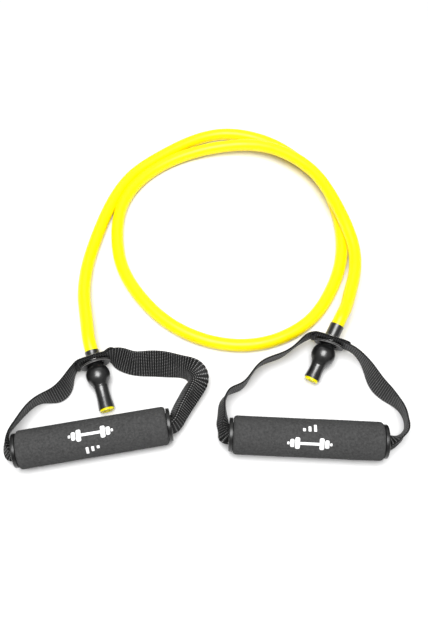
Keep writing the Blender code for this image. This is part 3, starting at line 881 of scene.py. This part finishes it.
def add_grommet(side, place, materials):
    """Eyelet with a rolled flange and a set lip, the ring under it, and the loose stop washer."""
    face = STRAP_LAYER_OFFSET + STRAP_THICKNESS / 2.0 + FLANGE_LIFT
    top = -face - FLANGE_THICKNESS
    ring_top = face + FLANGE_THICKNESS
    lip_under = ring_top + 0.5 * FLANGE_LIFT
    lip_top = ring_top + SET_LIP_HEIGHT
    eyelet = (
        (BARREL_BORE_RADIUS, top, 0.0006),
        (FLANGE_RADIUS - FLANGE_BEVEL, top, 0.0006),
        (FLANGE_RADIUS, top + FLANGE_BEVEL_DROP, 0.0003),
        (FLANGE_RADIUS, -face, 0.0002),
        (BARREL_RADIUS, -face, 0.0),
        (BARREL_RADIUS, lip_under, 0.0),
        (BARREL_RADIUS + SET_LIP_WIDTH, lip_under, 0.0001),
        (BARREL_RADIUS + SET_LIP_WIDTH - SET_LIP_HEIGHT, lip_top, 0.0002),
        (BARREL_BORE_RADIUS, lip_top, 0.0003),
    )
    ring = (
        (BARREL_RADIUS + RING_CLEARANCE, face, 0.0),
        (FLANGE_RADIUS, face, 0.0002),
        (FLANGE_RADIUS - RING_SHOULDER_INSET, face + RING_SHOULDER, 0.0004),
        (FLANGE_RADIUS - RING_TOP_INSET, ring_top, 0.0004),
        (BARREL_RADIUS + RING_CLEARANCE, ring_top, 0.0),
    )
    finish = WASHER_START + WASHER_THICKNESS
    washer = (
        (WASHER_BORE_RADIUS, WASHER_START, 0.0002),
        (WASHER_RADIUS, WASHER_START, 0.0005),
        (WASHER_RADIUS, finish, 0.0005),
        (WASHER_BORE_RADIUS, finish, 0.0002),
    )
    for label, outline, body, slot, material, node_name in (
        ("eyelet", eyelet, "strap", "black_nickel", "grommet", "grommet_eyelet"),
        ("ring", ring, "strap", "black_nickel", "grommet", "grommet_ring"),
        ("washer", washer, "washer", "black_steel", "washer", "stop_washer"),
    ):
        piece = turned(f"{side}_{label}", outline, place, materials[material])
        dress(piece, f"{side}_{body}", slot, f"{side}_{node_name}")


# Webbing


def overlap_stations(place, handle, layer):
    """Stations of one webbing layer through the overlap, from its right end to its left end."""
    middle = place.to_translation()
    ball_way = place.to_3x3().col[2].copy()
    droop = math.degrees(math.asin(-ball_way.z))
    right_way = place.to_3x3().col[0].copy()
    if right_way.x < 0.0:
        right_way.negate()
    stations = []
    for step in (*OVERLAP_STEPS[::-1], *(-value for value in OVERLAP_STEPS[1:])):
        radius = handle["bend_left"] if step < 0.0 else handle["bend_right"]
        side = -1.0 if step < 0.0 else 1.0
        angle = max(abs(step) - OVERLAP_FLAT, 0.0) / radius
        flat = side * (min(abs(step), OVERLAP_FLAT) + radius * math.sin(angle))
        out = radius * (1.0 - math.cos(angle))
        face = ball_way * math.cos(angle) - right_way * (side * math.sin(angle))
        point = middle + right_way * flat + ball_way * out + face * (layer * STRAP_LAYER_OFFSET)
        share = max(step - OVERLAP_FLAT, 0.0) / (OVERLAP_END - OVERLAP_FLAT)
        stations.append((*point, droop * math.cos(angle) + share * handle["twist_right"], 0.0))
    return stations


def bore_stations(here, handle):
    """Stations through the grip, from its left cap to its right cap."""
    lean_in, lean_out = handle["bore_lean"]
    steps = [(inset - GRIP_HALF, fold) for inset, fold in BORE_FOLDS]
    steps.append((0.0, BORE_MIDDLE_FOLD))
    steps += [(GRIP_HALF - inset, fold) for inset, fold in BORE_FOLDS[::-1]]
    stations = []
    for step, fold in steps:
        point = here["grip"] + here["grip_axis"] * step
        share = (step + GRIP_HALF) / (2.0 * GRIP_HALF)
        lean = lean_in + (lean_out - lean_in) * (share * share * (3.0 - 2.0 * share))
        stations.append((*point, lean, fold))
    return stations


def section(fold, positions):
    """Across the webbing at one station: (width, face) offsets and the turn at each position."""
    half_fold = math.radians(fold) / 2.0
    fine = np.linspace(-STRAP_WIDTH / 2.0, STRAP_WIDTH / 2.0, SECTION_SAMPLES)
    turns = half_fold * np.clip(fine / STRAP_FOLD_HALF, -1.0, 1.0)
    step = fine[1] - fine[0]
    wide = np.cumsum(np.cos(turns)) * step
    deep = np.cumsum(np.sin(turns)) * step
    wide -= wide[SECTION_SAMPLES // 2]
    deep -= (deep.max() + deep.min()) / 2.0
    return (
        np.interp(positions, fine, wide),
        np.interp(positions, fine, deep),
        np.interp(positions, fine, turns),
    )


def strap_lines(stations):
    """Evenly spaced centre points, headings, leans and folds along the webbing, and its length."""
    stations = np.array(stations)
    knots = chord_knots(stations[:, :3])
    fine = np.linspace(0.0, knots[-1], STRAP_SAMPLES)
    path = natural_spline(knots, stations, fine)
    path[:, 4] = np.clip(path[:, 4], 0.0, MOST_FOLD)
    heading = np.gradient(path[:, :3], fine, axis=0)
    heading /= np.linalg.norm(heading, axis=1)[:, None]
    run = chord_knots(path[:, :3])
    picks = int(round(run[-1] / PICK_PITCH))
    places = np.linspace(0.0, run[-1], picks * ROWS_PER_PICK + 1)
    lines = np.stack([np.interp(places, run, column) for column in (*path.T, *heading.T)], axis=1)
    return lines, places, run[-1]


def weave(row, rows, columns):
    """How far each yarn's crown stands up at a row, on the front and on the back, from 0 to 1.

    Every pick makes a rib across the webbing, on which every second yarn stands higher.
    """
    yarn = np.arange(columns) // 2
    crown = np.where(np.arange(columns) % 2 == 1, 1.0, WEAVE_LOW_CROWN)
    rib = 0.5 - 0.5 * math.cos(2.0 * math.pi * row / ROWS_PER_PICK)
    over = 0.5 + 0.5 * np.cos(math.pi * row / ROWS_PER_PICK + math.pi * yarn)
    melt = min(min(row, rows - 1 - row) / ROWS_PER_PICK, 1.0)
    rise = crown * rib * melt
    return rise * (1.0 - WEAVE_UNDER * (1.0 - over)), rise * (1.0 - WEAVE_UNDER * over)


def strap_points(lines, rows, columns):
    """Front and back points of the woven webbing, with each point's rise."""
    across = np.linspace(-STRAP_WIDTH / 2.0, STRAP_WIDTH / 2.0, columns)
    base = np.full(columns, STRAP_THICKNESS / 2.0 - 0.5 * WEAVE_RELIEF)
    base[[0, -1]] *= SELVEDGE_THICKNESS
    front = np.zeros((rows, columns, 3))
    back = np.zeros((rows, columns, 3))
    rises = np.zeros((rows, 2, columns))
    for row, line in enumerate(lines):
        from_end = min(row, rows - 1 - row) * PICK_PITCH / ROWS_PER_PICK
        missing = max(1.0 - from_end / STRAP_CORNER, 0.0)
        narrowing = 1.0 - (1.0 - math.sqrt(1.0 - missing**2)) * 2.0 * STRAP_CORNER / STRAP_WIDTH
        forward = Vector(line[5:8]).normalized()
        side = UP.cross(forward).normalized()
        upright = forward.cross(side).normalized()
        lean = math.radians(line[3])
        width_way = np.array(upright * math.cos(lean) + side * math.sin(lean))
        face_way = np.cross(width_way, np.array(forward))
        face_way /= np.linalg.norm(face_way)
        wide, deep, turns = section(line[4], across * narrowing)
        middle = line[:3] + np.outer(wide, width_way) - np.outer(deep, face_way)
        normal = np.outer(np.cos(turns), face_way) + np.outer(np.sin(turns), width_way)
        scallop = SELVEDGE_SCALLOP * math.cos(2.0 * math.pi * row / ROWS_PER_PICK)
        outward = np.outer(np.cos(turns), width_way) - np.outer(np.sin(turns), face_way)
        middle[0] -= outward[0] * scallop
        middle[-1] += outward[-1] * scallop
        rises[row] = weave(row, rows, columns)
        front[row] = middle + normal * (base + WEAVE_RELIEF * rises[row, 0])[:, None]
        back[row] = middle - normal * (base + WEAVE_RELIEF * rises[row, 1])[:, None]
    return front, back, rises


def hole_cells(front, back, place):
    """Which grid cells the grommet's hole takes away. Its rim is drawn into a true circle."""
    inverse = np.array(place.inverted())
    middle = (front + back) / 2.0
    local = middle @ inverse[:3, :3].T + inverse[:3, 3]
    near = np.abs(local[:, :, 2]) < HOLE_REACH
    reach = np.hypot(local[:, :, 0], local[:, :, 1])
    inside = near & (reach < STRAP_HOLE_RADIUS)
    gone = inside[:-1, :-1] & inside[1:, :-1] & inside[:-1, 1:] & inside[1:, 1:]
    touched = np.zeros(inside.shape, dtype=bool)
    kept = np.zeros(inside.shape, dtype=bool)
    for down in (0, 1):
        for right in (0, 1):
            rows = slice(down, down + gone.shape[0])
            columns = slice(right, right + gone.shape[1])
            touched[rows, columns] |= gone
            kept[rows, columns] |= ~gone
    rim = touched & kept
    axis = np.array(place.to_3x3().col[2])
    for row, column in zip(*np.nonzero(rim)):
        radial = np.array(place.to_3x3() @ Vector((*local[row, column, :2], 0.0)))
        push = radial * (STRAP_HOLE_RADIUS / reach[row, column] - 1.0)
        push -= axis * float(push @ axis)
        front[row, column] += push
        back[row, column] += push
    return gone


def strap_stations(here, handle, place):
    """Stations across the overlap, left round through the grip, and across the overlap again."""
    arms = {}
    for name in ("left_arm", "right_arm"):
        arms[name] = [(*(Vector(s[:3]) + LAYOUT_OFFSET), s[3], s[4]) for s in handle[name]]
    return [
        *overlap_stations(place, handle, -1.0),
        *arms["left_arm"],
        *bore_stations(here, handle),
        *arms["right_arm"],
        *overlap_stations(place, handle, 1.0),
    ]


def strap_faces(rows, columns, gone):
    """Faces round the webbing from end to end, with a wall in place of each cell that is gone."""
    ring = 2 * columns
    faces = [tuple(range(ring)), tuple(range((rows - 1) * ring, rows * ring))]
    for row in range(rows - 1):
        here = row * ring
        there = here + ring
        for column in range(ring):
            cell = column if column < columns else 2 * columns - 2 - column
            if 0 <= cell < columns - 1 and column != columns - 1 and gone[row, cell]:
                continue
            after = (column + 1) % ring
            faces.append((here + column, here + after, there + after, there + column))
    for row, column in zip(*np.nonzero(gone)):
        for down, right, first, second in (
            (-1, 0, (0, 0), (0, 1)),
            (1, 0, (1, 0), (1, 1)),
            (0, -1, (0, 0), (1, 0)),
            (0, 1, (0, 1), (1, 1)),
        ):
            if gone[row + down, column + right]:
                continue
            row_a = (row + first[0]) * ring
            row_b = (row + second[0]) * ring
            column_a = column + first[1]
            column_b = column + second[1]
            front_pair = (row_a + column_a, row_b + column_b)
            back_pair = (row_b + ring - 1 - column_b, row_a + ring - 1 - column_a)
            faces.append(front_pair + back_pair)
    return faces


def add_strap(side, here, handle, place, material):
    """One length of webbing, both its ends punched by the grommet."""
    lines, places, length = strap_lines(strap_stations(here, handle, place))
    rows = len(lines)
    columns = 2 * WARP_YARNS + 1
    front, back, rises = strap_points(lines, rows, columns)
    gone = hole_cells(front, back, place)
    points = np.concatenate([front, back[:, ::-1]], axis=1).reshape(-1, 3).tolist()
    faces = strap_faces(rows, columns, gone)
    strap = finish_mesh(f"{side}_strap", points, faces, material, 70.0)
    # The rise also sets the webbing's painted shade and painted highlight.
    paint(strap, "rise", np.concatenate([rises[:, 0], rises[:, 1, ::-1]], axis=1))
    across = np.linspace(0.0, STRAP_WIDTH, columns)
    wide = np.tile(np.concatenate([across, across[::-1]]), rows)
    lay_out(strap, np.stack([wide, np.repeat(places, 2 * columns)], axis=1))
    return dress(strap, f"{side}_strap", "black_webbing", f"{side}_webbing_strap"), length


# Grip


def foam_surface(side, angle, along):
    """Radius of the foam's outer skin, with its slow swells and its small cells."""
    across = FOAM_RADIUS * math.cos(angle) + FOAM_SEEDS[side]
    point = Vector((across, FOAM_RADIUS * math.sin(angle), along))
    return FOAM_RADIUS + FOAM_SWELL * grain(point, 0.022) + FOAM_CELLS * grain(point, 0.0016, 3)


def foam_outline():
    """(radius, height, is skin) points round the foam's cut, its outer corners soft."""
    half = FOAM_LENGTH / 2.0
    quarter = [math.radians(90.0 * step / FOAM_EDGE_STEPS) for step in range(FOAM_EDGE_STEPS + 1)]
    outline = [(FOAM_BORE_RADIUS, half, False), (FOAM_BORE_RADIUS, -half, False)]
    for angle in quarter:
        radius = FOAM_RADIUS - FOAM_EDGE + FOAM_EDGE * math.sin(angle)
        outline.append((radius, -half + FOAM_EDGE - FOAM_EDGE * math.cos(angle), True))
    for step in range(1, FOAM_RINGS):
        height = -half + FOAM_EDGE + 2.0 * (half - FOAM_EDGE) * step / FOAM_RINGS
        outline.append((FOAM_RADIUS, height, True))
    for angle in quarter:
        radius = FOAM_RADIUS - FOAM_EDGE + FOAM_EDGE * math.cos(angle)
        outline.append((radius, half - FOAM_EDGE + FOAM_EDGE * math.sin(angle), True))
    return outline


def add_foam(side, here, material):
    """Foam sleeve with soft ends, pressed a little flat where it rests."""
    place = axis_frame(here["grip"], here["grip_axis"])
    outline = foam_outline()
    points = []
    for step in range(FOAM_SIDES):
        angle = 2.0 * math.pi * step / FOAM_SIDES
        for radius, height, is_skin in outline:
            if is_skin:
                radius += foam_surface(side, angle, height) - FOAM_RADIUS
            point = place @ polar(radius, angle, height)
            point.z = max(point.z, FOAM_LOWEST)
            points.append(point)
    faces = grid_faces(FOAM_SIDES, len(outline), True)
    foam = finish_mesh(f"{side}_foam", points, faces, material, 60.0)
    dress(foam, f"{side}_grip", "grey_foam", f"{side}_foam_grip")
    return foam


def rounded_box(width, height, corner, steps=6, spacing=0.0004):
    """Outline of a rectangle with round corners about the origin, with points close together."""
    corners = []
    for turn, (sign_x, sign_y) in enumerate(((1, 1), (-1, 1), (-1, -1), (1, -1))):
        for step in range(steps + 1):
            angle = math.radians(90.0 * turn + 90.0 * step / steps)
            x = sign_x * (width / 2.0 - corner) + corner * math.cos(angle)
            y = sign_y * (height / 2.0 - corner) + corner * math.sin(angle)
            corners.append(Vector((x, y)))
    outline = []
    for index, point in enumerate(corners):
        following = corners[(index + 1) % len(corners)]
        pieces = max(1, int((following - point).length / spacing))
        outline += [tuple(point.lerp(following, piece / pieces)) for piece in range(pieces)]
    return outline


# Boxes of each mark: place along the grip, place around it, width, height and corner radius.
# The dumbbell has its plates on both ends of its bar, and each level bar is taller than the last.
DUMBBELL_PLATES = (
    (0.0092, 0.0036, 0.0092, 0.0012),
    (0.0132, 0.0032, 0.0064, 0.0011),
    (0.0162, 0.0018, 0.0022, 0.0006),
)
MARKS = {
    "dumbbell": (
        (0.0, 0.0, 0.0150, 0.0022, 0.0006),
        *((sign * along, 0.0, *box) for along, *box in DUMBBELL_PLATES for sign in (-1.0, 1.0)),
    ),
    "bars": tuple(
        (0.0042 * step, 0.0009 * step - 0.0007, 0.0022, 0.0044 + 0.0018 * step, 0.0006)
        for step in (-1, 0, 1)
    ),
}


def add_marks(side, here, handle, material):
    """Printed marks, each a thin skin that follows the foam: a dumbbell and three level bars."""
    place = axis_frame(here["grip"], here["grip_axis"])
    inverse = place.to_3x3().inverted()
    flip = -1.0 if handle["marks"]["upside_down"] else 1.0
    top = inverse @ UP
    level = inverse @ here["grip_axis"].cross(UP)
    points = []
    faces = []
    for label, boxes in MARKS.items():
        centre = math.radians(handle["marks"][label])
        for x, y, width, height, corner in boxes:
            outline = rounded_box(width, height, corner)
            start = len(points)
            for share, lift in PRINT_LAYERS:
                for edge_x, edge_y in outline:
                    along = flip * (x + edge_x * share)
                    around = centre - flip * (y + edge_y * share) / FOAM_RADIUS
                    way = top * math.cos(around) + level * math.sin(around)
                    angle = math.atan2(way.y, way.x) % (2.0 * math.pi)
                    radius = foam_surface(side, angle, along) + lift
                    points.append(place @ polar(radius, angle, along))
            skin = grid_faces(len(PRINT_LAYERS), len(outline), False)
            faces += [tuple(start + index for index in face) for face in skin]
    marks = finish_mesh(f"{side}_print", points, faces, material, 60.0)
    dress(marks, f"{side}_grip", "grey_foam")


def add_core(side, place, material):
    """Stiff tube that the foam is pulled over."""
    half = FOAM_LENGTH / 2.0
    outline = (
        (CORE_BORE_RADIUS, -half, 0.0003),
        (CORE_RADIUS, -half, 0.0003),
        (CORE_RADIUS, half, 0.0003),
        (CORE_BORE_RADIUS, half, 0.0003),
    )
    core = turned(f"{side}_core", outline, place, material)
    dress(core, f"{side}_grip", "grey_pipe", f"{side}_core_tube")


def add_caps(side, here, material):
    """A cap in each end of the grip: a spigot, and a flange with a groove round a soft mouth."""
    inner = FOAM_LENGTH / 2.0 + CAP_GAP
    outer = inner + CAP_FLANGE
    tip = inner - CAP_SPIGOT_LENGTH
    groove_floor = outer - CAP_GROOVE_DEPTH
    outline = (
        (CAP_BORE_RADIUS, tip, 0.0003),
        (CAP_SPIGOT_RADIUS, tip, 0.0004),
        (CAP_SPIGOT_RADIUS, inner, 0.0),
        (CAP_RADIUS, inner, 0.0003),
        (CAP_RADIUS, outer, 0.0011),
        (CAP_GROOVE_OUTER, outer, 0.0),
        (CAP_GROOVE_OUTER - CAP_GROOVE_SLOPE, groove_floor, 0.0001),
        (CAP_GROOVE_INNER + CAP_GROOVE_SLOPE, groove_floor, 0.0001),
        (CAP_GROOVE_INNER, outer, 0.0),
        (CAP_BORE_RADIUS, outer, 0.00165),
    )
    towards_middle = 1.0 if side == "left" else -1.0
    for label, way in (("inner", towards_middle), ("outer", -towards_middle)):
        facing = axis_frame(here["grip"], here["grip_axis"] * way)
        cap = turned(f"{side}_{label}_cap", outline, facing, material)
        dress(cap, f"{side}_grip", "gloss_black", f"{side}_{label}_end_cap")


def add_grip(side, here, handle, materials):
    """Foam with its printed marks over a core tube, with a flanged cap pushed into each end."""
    foam = add_foam(side, here, materials["foam"])
    add_marks(side, here, handle, materials["ink"])
    add_core(side, axis_frame(here["grip"], here["grip_axis"]), materials["core"])
    add_caps(side, here, materials["cap"])
    return foam


def make_materials():
    return {
        "latex": latex_material(),
        "foam": foam_material(),
        "strap": webbing_material(),
        "sleeve": sleeve_material(),
        "grommet": metal_material("black nickel", 0.08, 0.85, 0.14, Metallic=1.0),
        "washer": metal_material("black steel", 0.008, 0.35, 0.3, Specular_IOR_Level=0.25),
        "cap": plastic_material("gloss black plastic", grey(0.006), grey(0.011), 0.28, 120.0),
        "core": plastic_material("grey pipe", grey(0.2), grey(0.27), 0.45, 300.0),
        "ball": plastic_material("white nylon", grey(0.78, 0.02), grey(0.86, 0.01), 0.35, 250.0),
        "ink": ink_material(),
    }


def build():
    add_camera()
    add_studio()
    add_floor(floor_material())
    materials = make_materials()
    frames = {side: handle_frames(handle) for side, handle in HANDLES.items()}
    add_tube(frames, materials["latex"])
    for side, handle in HANDLES.items():
        here = frames[side]
        stack = axis_frame(here["stack"], here["stack_axis"])
        add_tube_end(side, here, handle["ball_at"], materials)
        add_grommet(side, stack, materials)
        foam = add_grip(side, here, handle, materials)
        strap, length = add_strap(side, here, handle, stack, materials["strap"])


build()
